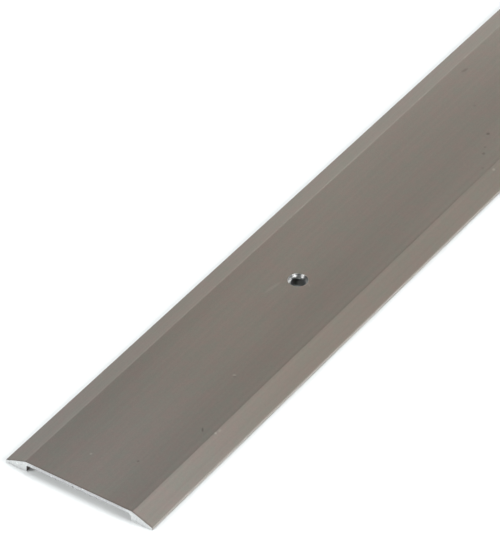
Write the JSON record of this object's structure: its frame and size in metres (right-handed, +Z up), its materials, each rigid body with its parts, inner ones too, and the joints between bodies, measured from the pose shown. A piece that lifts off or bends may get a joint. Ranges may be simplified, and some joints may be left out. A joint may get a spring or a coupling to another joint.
{
  "type": "threshold strip",
  "caption": "Flat extruded aluminium threshold strip with bevelled edges, a shallow recess underneath and countersunk screw holes along its centre line, to cover the joint between two floors.",
  "frame": {"origin": "on the floor, under the middle of the strip's length and width", "axes": "+X along the strip, +Y across it, +Z up from the floor through the tread"},
  "size_m": [0.9, 0.04, 0.0028],
  "materials": {
    "anodised_aluminium": "matt warm-grey anodised, with fine lines along the extrusion; bare metal on the sawn ends and in the countersinks"
  },
  "bodies": {
    "root": {"threshold_profile": "anodised_aluminium"}
  },
  "joints": []
}
